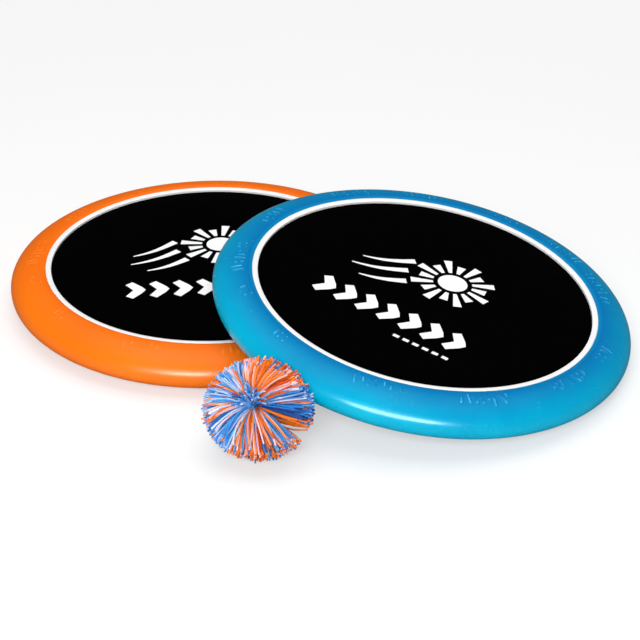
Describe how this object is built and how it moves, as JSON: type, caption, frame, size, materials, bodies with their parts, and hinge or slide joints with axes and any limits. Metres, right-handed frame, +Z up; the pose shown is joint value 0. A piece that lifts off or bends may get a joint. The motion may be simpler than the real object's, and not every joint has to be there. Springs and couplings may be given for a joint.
{
  "type": "trampoline paddle set",
  "caption": "Round foam-rimmed trampoline paddles with stretched mesh membranes, lying flat and leaning on each other, and a rubber strand ball that is bounced between them.",
  "frame": {"origin": "on the ground, under the middle of the set's bounding box", "axes": "+Z up from the ground; +X runs from the flat orange paddle towards the leaning blue paddle; +Y points away from the ball"},
  "size_m": [0.4606, 0.3982, 0.0683],
  "materials": {
    "orange_foam": "satin integral skin",
    "blue_foam": "satin integral skin",
    "white_plastic": "semi-gloss",
    "grey_plastic": "matte",
    "black_cord": "woven",
    "black_mesh": "fine elastic mesh",
    "tie_band": "matte",
    "orange_strand": "satin",
    "blue_strand": "satin"
  },
  "bodies": {
    "orange_paddle": {"orange_foam_rim": "orange_foam", "orange_upper_hoop": "white_plastic", "orange_lower_hoop": "grey_plastic", "orange_hem_cord": "black_cord", "orange_membrane_edge": "black_mesh"},
    "orange_sheet_centre": {"orange_membrane_centre": "black_mesh"},
    "orange_sheet_middle": {"orange_membrane_middle": "black_mesh"},
    "blue_paddle": {"blue_foam_rim": "blue_foam", "blue_upper_hoop": "white_plastic", "blue_lower_hoop": "grey_plastic", "blue_hem_cord": "black_cord", "blue_membrane_edge": "black_mesh"},
    "blue_sheet_centre": {"blue_membrane_centre": "black_mesh"},
    "blue_sheet_middle": {"blue_membrane_middle": "black_mesh"},
    "strand_ball": {"ball_tie_band": "tie_band", "ball_axial_strands": "blue_strand", "ball_strands_01": "orange_strand", "ball_strands_02": "blue_strand", "ball_strands_03": "orange_strand", "ball_strands_04": "blue_strand", "ball_strands_05": "orange_strand", "ball_strands_06": "blue_strand", "ball_strands_07": "orange_strand", "ball_strands_08": "blue_strand", "ball_strands_09": "orange_strand", "ball_strands_10": "blue_strand", "ball_strands_11": "orange_strand", "ball_strands_12": "blue_strand"}
  },
  "joints": [
    {"name": "orange_bounce", "type": "slide", "parent": "orange_paddle", "child": "orange_sheet_centre", "axis": [0, 0, 1], "range_m": [-0.025, 0.008], "stiffness_N_per_m": 150},
    {"name": "orange_bounce_middle", "type": "slide", "parent": "orange_paddle", "child": "orange_sheet_middle", "axis": [0, 0, 1], "range_m": [-0.0126, 0.0041]},
    {"name": "blue_lift", "type": "slide", "parent": "orange_paddle", "child": "blue_paddle", "axis": [0, 0, 1], "range_m": [0, 0.12]},
    {"name": "blue_bounce", "type": "slide", "parent": "blue_paddle", "child": "blue_sheet_centre", "axis": [0.1395, -0.0532, 0.9888], "range_m": [-0.017, 0.025], "stiffness_N_per_m": 150},
    {"name": "blue_bounce_middle", "type": "slide", "parent": "blue_paddle", "child": "blue_sheet_middle", "axis": [0.1395, -0.0532, 0.9888], "range_m": [-0.0086, 0.0126]},
    {"name": "ball_lift", "type": "slide", "parent": "orange_paddle", "child": "strand_ball", "axis": [-0.4511, -0.5514, 0.7018], "range_m": [0, 0.1]}
  ],
  "couplings": [
    {"joint": "orange_bounce_middle", "follows": "orange_bounce", "ratio": 0.5},
    {"joint": "blue_bounce_middle", "follows": "blue_bounce", "ratio": 0.5}
  ]
}
